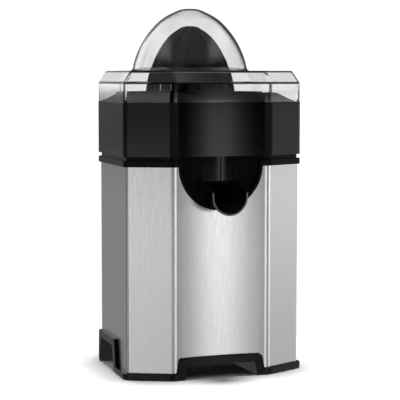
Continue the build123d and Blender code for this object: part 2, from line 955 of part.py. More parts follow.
# Motor screws, up through bracket and core into the case bosses
with BuildPart() as motor_screws:
    for places, seat in (
        (motor_screw_places[:2], bracket_bottom),
        (motor_screw_places[2:], core_bottom),
    ):
        with BuildSketch(level(seat - screw_head)):
            with Locations(*places):
                Circle(screw_head_radius)
        extrude(amount=screw_head)
        with BuildSketch(level(seat)):
            with Locations(*places):
                Circle(screw_radius)
        extrude(amount=core_top + core_drop - seat)
finish(motor_screws, "motor_screws")

# Rotor: magnet, shaft and pinion, in two plain bushes
rotor_bottom = core_middle - rotor_length / 2
with BuildPart() as rotor_magnet:
    with BuildSketch(level(rotor_bottom)):
        with Locations(rotor_place):
            Circle(rotor_radius)
            Circle(rotor_shaft_radius + seat_gap, mode=Mode.SUBTRACT)
    extrude(amount=rotor_length)
finish(rotor_magnet, "rotor_magnet")

pinion_bottom = floor_top + slip
with BuildPart() as rotor_shaft:
    with BuildSketch(level(bearing_bottom)):
        with Locations(rotor_place):
            Circle(rotor_shaft_radius)
    extrude(amount=wheel_top - bearing_bottom)
finish(rotor_shaft, "rotor_shaft")

with BuildPart() as rotor_pinion:
    with BuildSketch(level(pinion_bottom)):
        with Locations(rotor_place):
            add(gear_face(pinion_teeth, first_module, 0))
            Circle(rotor_shaft_radius + seat_gap, mode=Mode.SUBTRACT)
    extrude(amount=wheel_top - pinion_bottom)
finish(rotor_pinion, "rotor_pinion")

with BuildPart() as rotor_bushes:
    for bush_foot, bush_length in (
        (bearing_bottom, bearing_drop + bracket_thickness),
        (case_bottom, case_floor),
    ):
        with BuildSketch(level(bush_foot)):
            with Locations(rotor_place):
                Circle(rotor_shaft_radius + running_fit + rotor_bush_wall)
                Circle(rotor_shaft_radius + running_fit, mode=Mode.SUBTRACT)
        extrude(amount=bush_length)
finish(rotor_bushes, "rotor_bushes")

# Start switch under the shaft, with its plunger and screws
with BuildPart() as switch_body:
    with BuildSketch(level(switch_bottom)):
        Rectangle(switch_length, switch_width)
    extrude(amount=switch_height)
    with BuildSketch(level(switch_top)):
        Circle(plunger_radius + running_fit)
    extrude(amount=-plunger_room, mode=Mode.SUBTRACT)
    with BuildSketch(upright()):
        with Locations(*switch_screw_places):
            Circle(switch_screw_radius + slip)
    extrude(amount=switch_width, both=True, mode=Mode.SUBTRACT)
finish(switch_body, "switch_body")

with BuildPart() as switch_plunger:
    with BuildSketch(level(switch_top - plunger_hidden)):
        Circle(plunger_radius)
    extrude(amount=plunger_top - switch_top + plunger_hidden)
    fillet(switch_plunger.edges().group_by(Axis.Z)[-1], plunger_round)
finish(switch_plunger, "switch_plunger")

with BuildPart() as switch_screws:
    with BuildSketch(upright(-switch_width / 2)):
        with Locations(*switch_screw_places):
            Circle(switch_screw_head)
    extrude(amount=switch_head_height)
    with BuildSketch(upright(-switch_width / 2)):
        with Locations(*switch_screw_places):
            Circle(switch_screw_radius)
    extrude(amount=-switch_width - switch_wall)
finish(switch_screws, "switch_screws")

# Drive shaft: hexagon below, round above
hex_top = lid_top + hex_above_lid
shaft_top = coupler_top - coupler_cap
with BuildPart() as drive_shaft:
    with BuildSketch(level(shaft_bottom)):
        RegularPolygon(shaft_flats / 2, 6, major_radius=False)
    extrude(amount=hex_top - shaft_bottom)
    with BuildSketch(level(hex_top)):
        Circle(shaft_radius)
    extrude(amount=shaft_top - hex_top)
finish(drive_shaft, "drive_shaft")

# Hexagon coupler on the shaft's top end, chamfered to lead into the basket's socket
with BuildPart() as drive_coupler:
    with BuildSketch(level(coupler_bottom)):
        RegularPolygon(coupler_flats / 2, 6, major_radius=False)
    extrude(amount=coupler_height)
    chamfer(drive_coupler.faces().sort_by(Axis.Z)[-1].edges(), coupler_chamfer)
    with BuildSketch(level(coupler_bottom)):
        Circle(shaft_radius + seat_gap)
    extrude(amount=coupler_height - coupler_cap, mode=Mode.SUBTRACT)
finish(drive_coupler, "drive_coupler")

# Retaining ring that stops the shaft under its bush
with BuildPart() as retaining_ring:
    with BuildSketch(level(clip_top - clip_thickness)):
        Circle(clip_radius)
        Circle(shaft_radius + seat_gap, mode=Mode.SUBTRACT)
    extrude(amount=clip_thickness)
finish(retaining_ring, "retaining_ring")

# Return spring between the output gear and the retaining ring
spring_bottom = lid_top + slip + spring_wire / 2
spring_top = clip_top - clip_thickness - slip - spring_wire / 2
spring_line = spring_path(spring_radius, spring_turns, spring_bottom, spring_top)
with BuildPart() as return_spring:
    with BuildSketch(Plane(spring_line @ 0, z_dir=spring_line % 0)):
        Circle(spring_wire / 2)
    sweep(path=spring_line)
finish(return_spring, "return_spring")
turn_points = [spring_line @ (step / (4 * spring_turns)) for step in range(4 * spring_turns + 1)]
turn_gap = min((later - point).length for point, later in zip(turn_points, turn_points[4:]))
print("spring gap between turns", round(turn_gap - spring_wire, 2))

# Juice tub: walled octagon, sloping floor, spindle tube and the ledge for the splash collar
slope = math.radians(floor_slope)
tub_floor = Plane(
    (0, spindle_y - front_y, tub_bottom + floor_front),
    z_dir=(0, -math.sin(slope), math.cos(slope)),
)
with BuildPart() as tub_hollow:
    with BuildSketch(level(tub_bottom)):
        add(outline(tub_in))
    extrude(amount=tub_height)
    split(bisect_by=tub_floor, keep=Keep.TOP)

with BuildPart() as tub_underside:
    with BuildSketch(level(tub_bottom)):
        add(outline(land_out - land_width))
        with Locations((0, -front_y)):
            Rectangle(2 * pocket_radius, 2 * pocket_depth, mode=Mode.SUBTRACT)
    extrude(amount=tub_height)
    split(bisect_by=tub_floor.offset(-mould_wall), keep=Keep.BOTTOM)

with BuildPart() as juice_collector:
    with BuildSketch(level(tub_bottom)):
        add(outline(tub_proud))
    extrude(amount=tub_height)
    add(tub_hollow.part, mode=Mode.SUBTRACT)
    add(tub_underside.part, mode=Mode.SUBTRACT)
    with BuildSketch(level(collar_bottom)):
        add(band(tub_in, tub_in - ledge_width))
    extrude(amount=-mould_wall)
    with BuildSketch(level(tub_bottom)):
        Circle(tube_radius + mould_wall)
    extrude(amount=tube_top - tub_bottom)
    with BuildSketch(level(tub_bottom)):
        Circle(tube_radius)
    extrude(amount=tube_top - tub_bottom, mode=Mode.SUBTRACT)
    with BuildSketch(level(tub_bottom)):
        with Locations((0, duct_middle)):
            Rectangle(2 * duct_half, duct_depth)
    extrude(amount=duct_cut, mode=Mode.SUBTRACT)
finish(juice_collector, "juice_collector")

# Downpipe: the apron in the notch, with its duct, window and the cheeks that hold the spout
with BuildPart() as downpipe:
    with BuildSketch(upright(-apron_back)):
        add(notch_face(apron_radius, tub_bottom))
    extrude(amount=apron_front - apron_back)
    with BuildSketch(level(spout_top + pipe_foot)):
        with BuildLine():
            bulge = ThreePointArc(
                (-spout_half, -apron_front), (0, -apron_front - pipe_bulge), (spout_half, -apron_front)
            )
            Line(bulge @ 1, bulge @ 0)
        make_face()
    extrude(amount=tub_bottom - spout_top - pipe_foot)
    for side in (-1, 1):
        inner_face = side * (spout_half + slip)
        with BuildSketch(beside(inner_face)):
            with BuildLine():
                nose = CenterArc((-pivot_y, pivot_z), cheek_round, 90, 180)
                Polyline(
                    nose @ 1,
                    (-apron_front, pivot_z - cheek_round),
                    (-apron_front, pivot_z + cheek_rise),
                    nose @ 0,
                )
            make_face()
        extrude(amount=side * cheek_wall)
    with BuildSketch(level(window_sill)):
        with Locations((0, duct_middle)):
            Rectangle(2 * duct_half, duct_depth)
    extrude(amount=tub_bottom - window_sill, mode=Mode.SUBTRACT)
    with BuildSketch(upright(-apron_back - duct_wall)):
        with Locations((0, (window_sill + spout_top) / 2)):
            Rectangle(2 * duct_half, spout_top - window_sill)
    extrude(amount=far, mode=Mode.SUBTRACT)
    with BuildSketch(beside()):
        with Locations((-pivot_y, pivot_z)):
            Circle(pivot_radius + seat_gap)
    extrude(amount=far, both=True, mode=Mode.SUBTRACT)
finish(downpipe, "downpipe")

# Splash collar: a frame that slopes up from the tub's walls to the round basket
def collar_block(inside, drop):
    """The collar as a solid, this far inside its outer face and this far under its top."""
    with BuildPart() as block:
        with BuildSketch(level(collar_bottom)):
            add(outline(collar_out - inside))
        extrude(amount=tub_top - drop - collar_bottom)
        with BuildSketch(level(tub_top - drop)):
            add(outline(collar_out - inside))
        with BuildSketch(level(collar_top - drop)):
            add(outline(collar_out - inside - collar_inset))
        loft(ruled=True)
    return block.part


with BuildPart() as splash_collar:
    add(collar_block(0, 0))
    add(collar_block(collar_wall, collar_wall), mode=Mode.SUBTRACT)
    with BuildSketch(level(collar_bottom)):
        Circle(basket_radius + collar_gap)
    extrude(amount=collar_top - collar_bottom, mode=Mode.SUBTRACT)
finish(splash_collar, "splash_collar")

# Spout: a sloping half pipe, cut upright at the lip, relieved behind the pivot so that it flips up
tilt = math.radians(spout_slope)
spout_run = Vector(0, -math.cos(tilt), -math.sin(tilt))
spout_rise = Vector(0, -math.sin(tilt), math.cos(tilt))
lip_low = Vector(0, spindle_y - spout_reach, spout_low)
section_origin = lip_low + spout_rise * spout_half - spout_run * spout_reach
rear_y = apron_front + slip
with BuildPart() as spout:
    with BuildSketch(Plane(section_origin, x_dir=(1, 0, 0), z_dir=spout_run)):
        Circle(spout_half)
        with Locations((0, spout_half)):
            Rectangle(2 * spout_half, 2 * spout_half)
            Rectangle(2 * (spout_half - spout_wall), 2 * spout_half, mode=Mode.SUBTRACT)
        Circle(spout_half - spout_wall, mode=Mode.SUBTRACT)
    extrude(amount=2 * spout_reach)
    with BuildSketch(beside()):
        with BuildLine():
            Polyline(
                (-spout_reach, 0),
                (-rear_y, 0),
                (-rear_y, pivot_z - flip_relief),
                (-(pivot_y + rear_y) / 2, spout_top),
                (-spout_reach, lip_top),
                close=True,
            )
        make_face()
    extrude(amount=far, both=True, mode=Mode.INTERSECT)
    fillet(spout.faces().sort_by(Axis.Y)[0].edges(), lip_round)
    with BuildSketch(beside()):
        with Locations((-pivot_y, pivot_z)):
            Circle(pivot_radius + running_fit)
    extrude(amount=far, both=True, mode=Mode.SUBTRACT)
finish(spout, "spout")

# Spout pins, pressed into the cheeks
with BuildPart() as spout_pins:
    for side in (-1, 1):
        with BuildSketch(beside(side * (spout_half - spout_wall))):
            with Locations((-pivot_y, pivot_z)):
                Circle(pivot_radius)
        extrude(amount=side * (spout_wall + slip + cheek_wall))
finish(spout_pins, "spout_pins")

# Strainer basket: slotted plate, sloping rim, hub with the hexagon socket
with BuildPart() as pulp_basket:
    with BuildSketch(upright()):
        with BuildLine():
            Polyline(
                (0, basket_floor),
                (basket_radius, basket_floor),
                (basket_radius, basket_floor + basket_step),
                (basket_rim, basket_rim_top),
                (basket_rim - basket_wall, basket_rim_top),
                (basket_rim - basket_wall, plate_face),
                (0, plate_face),
                close=True,
            )
        make_face()
    revolve(axis=spindle)
    with BuildSketch(level(hub_bottom)):
        Circle(basket_hub)
    extrude(amount=plate_face + hub_above_plate - hub_bottom)
    with BuildSketch(level(basket_floor)):
        with PolarLocations(slot_place, slot_count):
            SlotOverall(slot_length, slot_width)
    extrude(amount=basket_thickness, mode=Mode.SUBTRACT)
    with BuildSketch(level(hub_bottom)):
        RegularPolygon(coupler_flats / 2 + slip, 6, major_radius=False)
    extrude(amount=coupler_top - hub_bottom, mode=Mode.SUBTRACT)
finish(pulp_basket, "pulp_basket")

# Cone: ribbed crown on a slotted plate, windows at its foot, sleeve on the basket's hub
rib_free_base = cone_base - rib_depth
with BuildPart() as rib_outline:
    with BuildSketch(upright()):
        add(crown_face(cone_base, cone_taper, cone_foot, cone_height))
    extrude(amount=rib_width / 2, both=True)

with BuildPart() as reamer_cone:
    with BuildSketch(upright()):
        add(crown_face(rib_free_base, cone_taper, cone_foot, cone_height - rib_depth))
    revolve(axis=spindle)
    for rib in range(rib_count):
        add(rib_outline.part.rotate(spindle, 360 * rib / rib_count))
    with BuildSketch(level(cone_bottom)):
        Circle(cone_base)
    extrude(amount=cone_foot - cone_bottom)
    with BuildSketch(upright()):
        add(
            crown_face(
                rib_free_base - cone_wall, cone_taper, cone_foot, cone_height - rib_depth - cone_wall
            )
        )
    revolve(axis=spindle, mode=Mode.SUBTRACT)
    with BuildSketch(level(cone_bottom)):
        Circle(rib_free_base - cone_wall)
    extrude(amount=cone_foot - cone_bottom, mode=Mode.SUBTRACT)
    with BuildSketch(level(cone_bottom)):
        Circle(cone_flange)
        Circle(basket_hub + running_fit, mode=Mode.SUBTRACT)
        with PolarLocations(slot_place, slot_count):
            SlotOverall(slot_length, slot_width, mode=Mode.SUBTRACT)
    extrude(amount=cone_plate)
    with BuildSketch(level(cone_bottom)):
        Circle(basket_hub + running_fit + sleeve_wall)
        Circle(basket_hub + running_fit, mode=Mode.SUBTRACT)
    extrude(amount=sleeve_height)
    with BuildSketch(level(cone_foot)):
        with PolarLocations(rib_free_base, window_count, start_angle=180 / window_count):
            Rectangle(window_cut, window_width)
    extrude(amount=window_height, mode=Mode.SUBTRACT)
finish(reamer_cone, "reamer_cone")

# Clear cover: octagonal shell of even wall with a sloping shoulder and a domed crown
def cover_block(foot, inset, turn, top_inset, top, turn_round, top_round):
    """A solid with upright sides and a sloping shoulder, each at its inset from the cover's outer face."""
    with BuildPart() as block:
        with BuildSketch(level(foot)):
            add(outline(cover_out - inset))
        extrude(amount=turn - foot)
        with BuildSketch(level(turn)):
            add(outline(cover_out - inset))
        with BuildSketch(level(top)):
            add(outline(cover_out - top_inset))
        loft(ruled=True)
        fillet(block.edges().filter_by_position(Axis.Z, turn, turn), turn_round)
        fillet(block.faces().sort_by(Axis.Z)[-1].edges(), top_round)
    return block.part


def dome_foot(cover, height):
    """The edge where the dome meets a flat of the cover at this height."""
    around = cover.edges().filter_by_position(Axis.Z, height, height)
    return around.filter_by(GeomType.CIRCLE).sort_by(SortBy.LENGTH)[-1]


inner_flat = cover_flat - cover_wall
with BuildPart() as dust_cover:
    add(
        cover_block(
            tub_top,
            0,
            shoulder_bottom,
            shoulder_inset,
            cover_flat,
            shoulder_round + cover_wall,
            brow_round,
        )
    )
    with BuildSketch(upright()):
        add(crown_face(dome_radius, dome_taper, cover_flat, dome_height))
    revolve(axis=spindle)
    fillet(dome_foot(dust_cover, cover_flat), dome_fillet)
    add(
        cover_block(
            tub_top + lip_shelf,
            cover_wall,
            hollow_turn,
            hollow_inset,
            inner_flat,
            shoulder_round,
            brow_inner_round,
        ),
        mode=Mode.SUBTRACT,
    )
    with BuildSketch(upright()):
        add(crown_face(dome_radius - cover_wall, dome_taper, inner_flat, dome_height))
    revolve(axis=spindle, mode=Mode.SUBTRACT)
    fillet(dome_foot(dust_cover, inner_flat), dome_fillet + cover_wall)
    with BuildSketch(level(tub_top - lip_depth)):
        add(band(lip_out, lip_in))
    extrude(amount=lip_depth + lip_shelf)
    with BuildSketch(level(tub_top)):
        add(outline(lip_in))
    extrude(amount=lip_shelf, mode=Mode.SUBTRACT)
finish(dust_cover, "dust_cover")
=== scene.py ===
import json
import math

import bmesh
import bpy
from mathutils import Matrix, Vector


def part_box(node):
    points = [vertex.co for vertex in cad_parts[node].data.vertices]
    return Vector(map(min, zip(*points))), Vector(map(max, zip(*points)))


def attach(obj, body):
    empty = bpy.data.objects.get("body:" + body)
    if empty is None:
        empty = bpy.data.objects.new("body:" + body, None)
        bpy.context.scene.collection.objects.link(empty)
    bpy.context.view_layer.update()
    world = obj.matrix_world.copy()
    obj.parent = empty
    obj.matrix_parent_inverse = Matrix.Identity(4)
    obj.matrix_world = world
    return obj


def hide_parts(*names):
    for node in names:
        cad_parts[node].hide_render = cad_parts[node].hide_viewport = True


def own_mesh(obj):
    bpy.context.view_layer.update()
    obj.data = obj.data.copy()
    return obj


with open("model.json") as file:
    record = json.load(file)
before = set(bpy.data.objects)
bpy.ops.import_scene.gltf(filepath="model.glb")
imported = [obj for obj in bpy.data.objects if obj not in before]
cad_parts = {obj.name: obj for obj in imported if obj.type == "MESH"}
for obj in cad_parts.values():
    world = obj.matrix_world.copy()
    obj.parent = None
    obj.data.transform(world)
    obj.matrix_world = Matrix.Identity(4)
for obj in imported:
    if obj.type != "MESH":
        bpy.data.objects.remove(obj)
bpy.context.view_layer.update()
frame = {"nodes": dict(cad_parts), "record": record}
nodes = frame["nodes"]
scene = bpy.context.scene
scene.view_settings.view_transform = "Standard"

# Camera, worked out from the photograph: metres, in the part's frame
SPINDLE = Vector((0.0, 0.01195, 0.0))
VIEW_ANGLE = math.radians(19.83)
CAMERA_DISTANCE = 1.4403
CAMERA_HEIGHT = 0.2744
AIM_HEIGHT = 0.1572
AIM_RIGHT = 0.0098
LENS = 135.0

upward = Vector((0.0, 0.0, 1.0))
forward = Vector((math.sin(VIEW_ANGLE), math.cos(VIEW_ANGLE), 0.0))
rightward = Vector((math.cos(VIEW_ANGLE), -math.sin(VIEW_ANGLE), 0.0))
camera_data = bpy.data.cameras.new("camera")
camera_data.lens = LENS
camera = bpy.data.objects.new("camera", camera_data)
scene.collection.objects.link(camera)
camera.location = SPINDLE - forward * CAMERA_DISTANCE + upward * CAMERA_HEIGHT
aim = SPINDLE + rightward * AIM_RIGHT + upward * AIM_HEIGHT
camera.rotation_mode = "QUATERNION"
camera.rotation_quaternion = (aim - camera.location).to_track_quat("-Z", "Y")
scene.camera = camera

# Node graphs, for the materials and the studio's surroundings
MIX_FIRST = 6
MIX_SECOND = 7
MIX_RESULT = 2
RAMP_MIDDLE = 0.5


def rgba(value):
    """A colour for a socket, from a grey or from red, green and blue."""
    colour = value if isinstance(value, tuple) else (value, value, value)
    return (*colour, 1.0)


class Graph:
    """A node tree, with short names for the nodes that are used here."""

    def __init__(self, tree):
        self.tree = tree

    def node(self, kind, **settings):
        made = self.tree.nodes.new(kind)
        for key, value in settings.items():
            setattr(made, key, value)
        return made

    def give(self, socket, value):
        """Link an output to a socket, or set the socket to a plain value."""
        if isinstance(value, bpy.types.NodeSocket):
            self.tree.links.new(value, socket)
        else:
            socket.default_value = value

    def fill(self, node, **values):
        """Link or set a node's sockets by their names."""
        for key, value in values.items():
            self.give(node.inputs[key.replace("_", " ")], value)

    def math(self, operation, *values):
        made = self.node("ShaderNodeMath", operation=operation)
        for socket, value in zip(made.inputs, values):
            self.give(socket, value)
        return made.outputs["Value"]

    def times(self, first, second):
        return self.math("MULTIPLY", first, second)

    def between(self, value, reach):
        """One where a value lies inside a reach, nought elsewhere."""
        low, high = reach
        return self.times(self.math("GREATER_THAN", value, low), self.math("LESS_THAN", value, high))

    def fade(self, value, reach, first, last):
        """A smooth change from first to last as a value crosses a reach."""
        low, high = reach
        made = self.node("ShaderNodeMapRange", interpolation_type="SMOOTHSTEP")
        self.fill(made, Value=value, From_Min=low, From_Max=high, To_Min=first, To_Max=last)
        return made.outputs["Result"]

    def ramp(self, factor, *stops):
        """Greys or colours at stops along a factor, in rising order."""
        made = self.node("ShaderNodeValToRGB")
        elements = made.color_ramp.elements
        while len(elements) < len(stops):
            elements.new(RAMP_MIDDLE)
        for element, (place, value) in zip(elements, stops):
            element.position = place
            element.color = rgba(value)
        self.fill(made, Fac=factor)
        return made.outputs["Color"]


# Materials: the usual reach of a noise, and what all mouldings and metals share
NOISE_LOW = 0.3
NOISE_HIGH = 0.7
EVEN = (1.0, 1.0, 1.0)
MOTTLE_SCALE = 60.0
GLOSS_SCALE = 220.0
GLOSS_DETAIL = 4.0
SKIN_DETAIL = 2.0
SKIN_STRENGTH = 0.25
STREAK_DETAIL = 5.0
STREAK_ROUGHNESS = 0.65
STREAK_GLOSS = 0.06
STREAK_STRENGTH = 0.06
STREAK_DEPTH = 0.00003


class Shader(Graph):
    """A node material with the object's own coordinates at hand."""

    def __init__(self, name):
        self.material = bpy.data.materials.new(name)
        self.material.use_nodes = True
        super().__init__(self.material.node_tree)
        self.bsdf = self.tree.nodes["Principled BSDF"]
        self.coordinates = self.node("ShaderNodeTexCoord").outputs

    def surface(self, **values):
        """Link or set the shader's own sockets."""
        self.fill(self.bsdf, **values)

    def fed(self, name):
        """What is linked to one of the shader's own sockets."""
        return self.bsdf.inputs[name].links[0].from_socket

    def noise(self, scale, detail=3.0, stretch=EVEN, roughness=0.5):
        """Noise at this many features to the metre, fewer along an axis with a small stretch."""
        mapping = self.node("ShaderNodeMapping")
        self.fill(mapping, Scale=stretch, Vector=self.coordinates["Object"])
        made = self.node("ShaderNodeTexNoise")
        self.fill(made, Scale=scale, Detail=detail, Roughness=roughness)
        self.fill(made, Vector=mapping.outputs["Vector"])
        return made.outputs["Fac"]

    def over(self, noise, low, high):
        """Greys or colours that follow a noise."""
        return self.ramp(noise, (NOISE_LOW, low), (NOISE_HIGH, high))

    def where(self, mask, inside):
        """A grey where a mask is one, and white elsewhere."""
        return self.ramp(mask, (0.0, 1.0), (1.0, inside))

    def bump(self, height, strength, distance):
        made = self.node("ShaderNodeBump")
        self.fill(made, Strength=strength, Distance=distance, Height=height)
        return made.outputs["Normal"]

    def axis(self, coordinates, letter):
        """One axis of the object's coordinates or of its normal."""
        parts = self.node("ShaderNodeSeparateXYZ")
        self.fill(parts, Vector=self.coordinates[coordinates])
        return parts.outputs[letter]

    def size(self, coordinates, letter):
        """The size of one axis, on both sides of nought."""
        return self.math("ABSOLUTE", self.axis(coordinates, letter))

    def in_front(self, coordinates):
        """One in front of the origin, or where the normal points to the front."""
        return self.math("LESS_THAN", self.axis(coordinates, "Y"), 0.0)

    def mix(self, factor, first, second, blend="MIX"):
        made = self.node("ShaderNodeMix", data_type="RGBA", blend_type=blend)
        self.fill(made, Factor=factor)
        self.give(made.inputs[MIX_FIRST], first)
        self.give(made.inputs[MIX_SECOND], second)
        return made.outputs[MIX_RESULT]

    def tinted(self, first, second):
        """Two colours multiplied."""
        return self.mix(1.0, first, second, blend="MULTIPLY")

    def dull(self, mask, roughness):
        """At least this rough where a mask is one."""
        rough = self.times(mask, roughness)
        self.surface(Roughness=self.math("MAXIMUM", self.fed("Roughness"), rough))


def moulded(name, low, high, rough, grain, depth, spread=0.04, mirror=0.20):
    """Moulded plastic or rubber: a faint mottle, uneven gloss and a fine skin."""
    made = Shader(name)
    mottle = made.noise(MOTTLE_SCALE)
    gloss = made.noise(GLOSS_SCALE, detail=GLOSS_DETAIL)
    skin = made.noise(grain, detail=SKIN_DETAIL)
    made.surface(
        Specular_IOR_Level=mirror,
        Base_Color=made.over(mottle, low, high),
        Roughness=made.over(gloss, rough - spread, rough + spread),
        Normal=made.bump(skin, SKIN_STRENGTH, depth),
    )
    return made


def metal(name, low, high, rough, scale, stretch=EVEN, anisotropic=0.0):
    """Drawn or brushed metal: streaks along the axis with the smallest stretch."""
    made = Shader(name)
    streaks = made.noise(scale, STREAK_DETAIL, stretch, STREAK_ROUGHNESS)
    made.surface(
        Metallic=1.0,
        Anisotropic=anisotropic,
        Base_Color=made.over(streaks, low, high),
        Roughness=made.over(streaks, rough + STREAK_GLOSS, rough - STREAK_GLOSS),
        Normal=made.bump(streaks, STREAK_STRENGTH, STREAK_DEPTH),
    )
    return made


# Finishes: darkest and lightest colour, roughness, grains or streaks to the metre, and their form
GLOSSY = dict(low=0.0015, high=0.003, grain=900.0, depth=0.000004, spread=0.02)
MATT = dict(low=0.002, high=0.004, rough=0.30, grain=1400.0, depth=0.00004)
GRIPPY = dict(grain=1800.0, depth=0.00005)
MOULDINGS = {
    "black_gloss": dict(GLOSSY, rough=0.09),
    "spout_gloss": dict(GLOSSY, rough=0.12, mirror=0.6),
    "black_apron": dict(GLOSSY, rough=0.07, mirror=0.16),
    "black_moulding": MATT,
    "deck_moulding": dict(MATT, mirror=0.08),
    "cone_plastic": dict(GRIPPY, low=0.008, high=0.013, rough=0.38),
    # Reamer cone: the same black plastic as cone_plastic, with a raised base colour that is painted light
    # for the light it gets through the cover
    "cone_painted_lighter": dict(GRIPPY, low=0.045, high=0.060, rough=0.48, mirror=0.06),
    "foot_rubber": dict(low=0.012, high=0.022, rough=0.75, grain=2400.0, depth=0.00008),
    "grey_moulding": dict(
        low=(0.15, 0.15, 0.155), high=(0.20, 0.20, 0.205), rough=0.50, grain=1600.0, depth=0.00006,
    ),
    "gear_plastic": dict(
        low=(0.70, 0.68, 0.60), high=(0.78, 0.76, 0.69), rough=0.42, grain=1500.0, depth=0.00003,
    ),
    "magnet_ferrite": dict(
        low=(0.02, 0.02, 0.022), high=(0.035, 0.035, 0.038), rough=0.55, grain=3000.0, depth=0.00006,
    ),
}
METALS = {
    "brushed_sleeve": dict(
        low=(0.53, 0.53, 0.525), high=(0.545, 0.545, 0.545), rough=0.23,
        scale=5200.0, stretch=(1.0, 1.0, 0.012), anisotropic=0.55,
    ),
    "lamination_steel": dict(
        low=(0.10, 0.10, 0.11), high=(0.22, 0.22, 0.23), rough=0.5,
        scale=2000.0, stretch=(0.02, 0.02, 1.0),
    ),
    "winding": dict(
        low=(0.33, 0.12, 0.05), high=(0.55, 0.24, 0.10), rough=0.33,
        scale=1700.0, stretch=(1.0, 0.02, 0.02),
    ),
    "bearing_bronze": dict(
        low=(0.42, 0.26, 0.10), high=(0.55, 0.37, 0.17), rough=0.36, scale=1400.0,
    ),
    "bright_steel": dict(
        low=(0.50, 0.50, 0.52), high=(0.62, 0.62, 0.64), rough=0.24,
        scale=1500.0, stretch=(1.0, 1.0, 0.05),
    ),
}
OWN_FINISH = {
    "motor_deck": "deck_moulding",
    "downpipe": "black_apron",
    "spout": "spout_gloss",
    "reamer_cone": "cone_painted_lighter",
}

# Folds and flats: how far their normals turn aside, where they lie, and the painted highlight and dullness
# that mark them
FOLD_TURN = (0.20, 0.42)
RIDGE_PAINTED_HIGHLIGHT = (0.93, 0.93, 0.93)
FOLD_REACH = (0.042, 0.050)
FOLD_ROUGHNESS = 0.6
FLAT_LIMIT = 0.01
PLATE_ROUGHNESS = 0.9


def front_fold(made):
    """One on the upright folds between the front panel and the wings."""
    turned = made.between(made.size("Normal", "X"), FOLD_TURN)
    return made.times(turned, made.in_front("Normal"))


def dull_folds(made):
    """The mould leaves a dull line along the band's front folds."""
    across = made.between(made.size("Object", "X"), FOLD_REACH)
    made.dull(made.times(across, made.in_front("Object")), FOLD_ROUGHNESS)


def dull_plate(made):
    """The flat plate round the downpipe has a dull face, the pipe a glossy one."""
    flat = made.math("LESS_THAN", made.size("Normal", "X"), FLAT_LIMIT)
    made.dull(flat, PLATE_ROUGHNESS)


def brush_sleeve_and_paint_ridge_highlights(made):
    """The steel is brushed upright, and its two front folds get a painted highlight: a lighter base colour.
    """
    tangent = made.node("ShaderNodeTangent", direction_type="RADIAL", axis="Z")
    # Painted highlight: the base colour on the front folds is lifted towards light grey
    painted_ridge_highlight = made.mix(front_fold(made), made.fed("Base Color"), rgba(RIDGE_PAINTED_HIGHLIGHT))
    made.surface(Tangent=tangent.outputs["Tangent"], Base_Color=painted_ridge_highlight)


# Clear cover: the tilts of the normal and the heights in metres between which its bends lie, and the
# painted shade on its edges and bends
CLEAR_IOR = 1.47
CLEAR_MIRROR = 0.15
CLEAR_SCALE = 260.0
CLEAR_ROUGHNESS = 0.03
HAZE_SCALE = 70.0
HAZE_LOW = (0.89, 0.895, 0.895)
HAZE_HIGH = (0.92, 0.925, 0.925)
EDGE_START = 0.80
EDGE_END = 0.95
EDGE_PAINTED_SHADE = 0.10
BROW_TILT = (0.40, 0.97)
BROW_HEIGHT = (0.2797, 0.2815)
FOOT_TILT = (0.04, 0.52)
FOOT_HEIGHT = (0.2665, 0.2727)
BEND_PAINTED_SHADE = 0.05
UPRIGHT_LIMIT = 0.05
UPRIGHT_PAINTED_SHADE = 0.14


def clear_plastic():
    """Clear moulding: a little tint, with painted shade edge-on and along the bends of the shoulder and the
    upright folds.
    """
    made = Shader("clear_plastic")
    haze = made.over(made.noise(HAZE_SCALE), HAZE_LOW, HAZE_HIGH)
    grazing = made.node("ShaderNodeLayerWeight").outputs["Facing"]
    # Painted shade: the base colour darkens edge-on, drawing a dark outline
    edge = made.ramp(grazing, (EDGE_START, 1.0), (EDGE_END, EDGE_PAINTED_SHADE))
    tilt = made.size("Normal", "Z")
    height = made.axis("Object", "Z")
    brow = made.times(made.between(tilt, BROW_TILT), made.between(height, BROW_HEIGHT))
    foot = made.times(made.between(tilt, FOOT_TILT), made.between(height, FOOT_HEIGHT))
    upright = made.times(front_fold(made), made.math("LESS_THAN", tilt, UPRIGHT_LIMIT))
    # Painted shade: dark lines along the shoulder's bends and the upright front folds
    level = made.where(made.math("MAXIMUM", brow, foot), BEND_PAINTED_SHADE)
    bends = made.tinted(level, made.where(upright, UPRIGHT_PAINTED_SHADE))
    made.surface(
        IOR=CLEAR_IOR,
        Transmission_Weight=1.0,
        Specular_IOR_Level=CLEAR_MIRROR,
        Base_Color=made.tinted(made.tinted(haze, edge), bends),
        Roughness=made.over(made.noise(CLEAR_SCALE), 0.0, CLEAR_ROUGHNESS),
    )
    return made


def build_materials():
    """A procedural material for each slot of the record, and for the nodes with a finish of their own."""
    made = {name: moulded(name, **finish) for name, finish in MOULDINGS.items()}
    made.update((name, metal(name, **finish)) for name, finish in METALS.items())
    made["clear_plastic"] = clear_plastic()
    dull_folds(made["black_gloss"])
    dull_plate(made["black_apron"])
    brush_sleeve_and_paint_ridge_highlights(made["brushed_sleeve"])
    return {name: shader.material for name, shader in made.items()}


materials = build_materials()
for subpart in frame["record"]["subparts"]:
    shown = nodes[subpart["node"]]
    shown.data.materials.clear()
    shown.data.materials.append(materials[OWN_FINISH.get(subpart["node"], subpart["material_slot"])])


# Return spring: round wire wound between the gear and the ring, carried with the shaft
SPRING_WIRE = 0.0014
SPRING_TURNS = 6
TURN_STEPS = 32
WIRE_SIDES = 12


